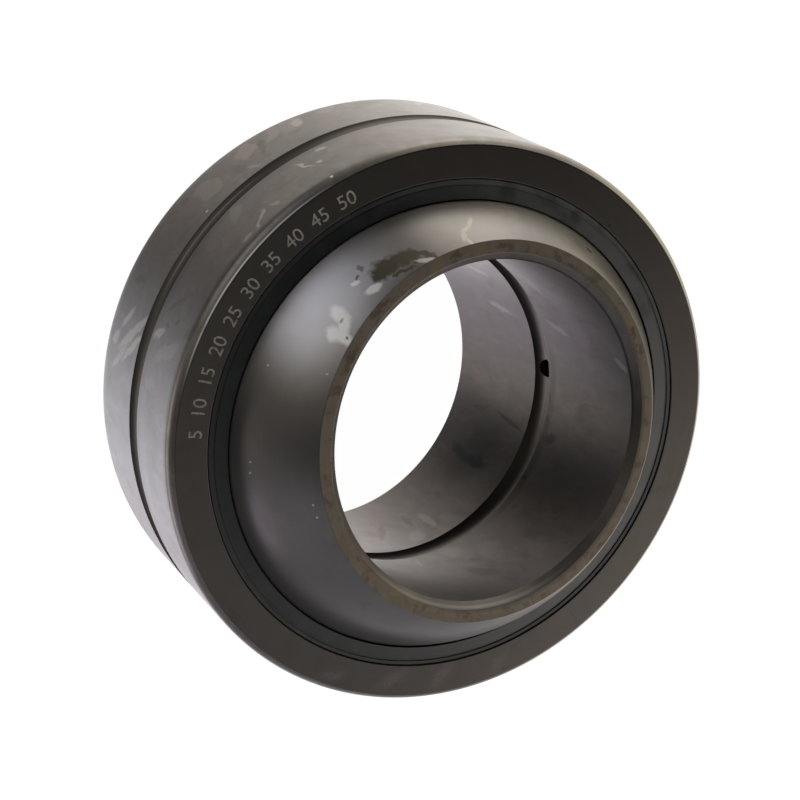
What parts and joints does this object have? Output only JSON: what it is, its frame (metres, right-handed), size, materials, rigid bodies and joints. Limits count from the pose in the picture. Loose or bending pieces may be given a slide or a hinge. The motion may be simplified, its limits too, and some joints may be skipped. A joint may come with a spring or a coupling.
{
  "type": "sealed spherical plain bearing",
  "caption": "Ball-shaped inner ring in a grooved outer ring with a lip seal on each side; the outer ring tilts on the ball.",
  "frame": {"origin": "centre of the ball, which is also the centre of both rings", "axes": "+Z along the inner ring's axis, standing on its lower end face; +X along the tilt axis; the outer ring is modelled 7.3 degrees from coaxial, turned about +X, as it lies in the picture"},
  "size_m": [0.12, 0.1244, 0.07],
  "materials": {
    "inner_ring_steel": "ground and phosphated bearing steel, oily sheen, rust-stained end faces",
    "outer_ring_steel": "dark phosphated bearing steel, oily sheen",
    "seal_rubber": "smooth dark polymer, slightly glossy"
  },
  "bodies": {
    "inner": {"inner_ring": "inner_ring_steel"},
    "outer": {"outer_ring": "outer_ring_steel", "upper_seal": "seal_rubber", "lower_seal": "seal_rubber"}
  },
  "joints": [
    {"name": "outer_ring_tilt", "type": "hinge", "parent": "inner", "child": "outer", "pos_m": [0, 0, 0], "axis": [1, 0, 0], "range_deg": [-23.3, 8.7]}
  ]
}
